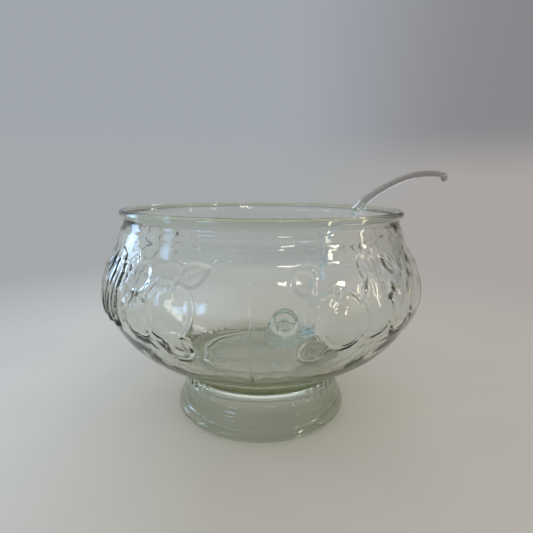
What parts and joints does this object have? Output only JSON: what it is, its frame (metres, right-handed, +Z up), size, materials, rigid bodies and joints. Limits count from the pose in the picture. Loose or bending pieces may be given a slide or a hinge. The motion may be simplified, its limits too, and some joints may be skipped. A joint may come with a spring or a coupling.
{
  "type": "punch bowl",
  "caption": "Footed clear-glass punch bowl with raised fruit, a rounded belly and a rolled rim, and a clear ladle that lifts out.",
  "frame": {"origin": "on the bowl's axis, in the plane that the foot ring stands on", "axes": "+Z up along the bowl's axis, -Y towards the front, where one of the two mould seams is, +X to the right"},
  "size_m": [0.3697, 0.2989, 0.2201],
  "materials": {
    "clear_glass": "clear pressed glass, faintly green where it is thick",
    "clear_plastic": "clear moulded plastic, faintly blue at its edges",
    "clear_plastic_rod": "clear polished plastic rod"
  },
  "bodies": {
    "bowl": {"bowl": "clear_glass"},
    "ladle": {"ladle_cup": "clear_plastic", "ladle_handle": "clear_plastic_rod"}
  },
  "joints": [
    {"name": "ladle_lift", "type": "slide", "parent": "bowl", "child": "ladle", "axis": [0, 0, 1], "range_m": [0, 0.16]}
  ]
}
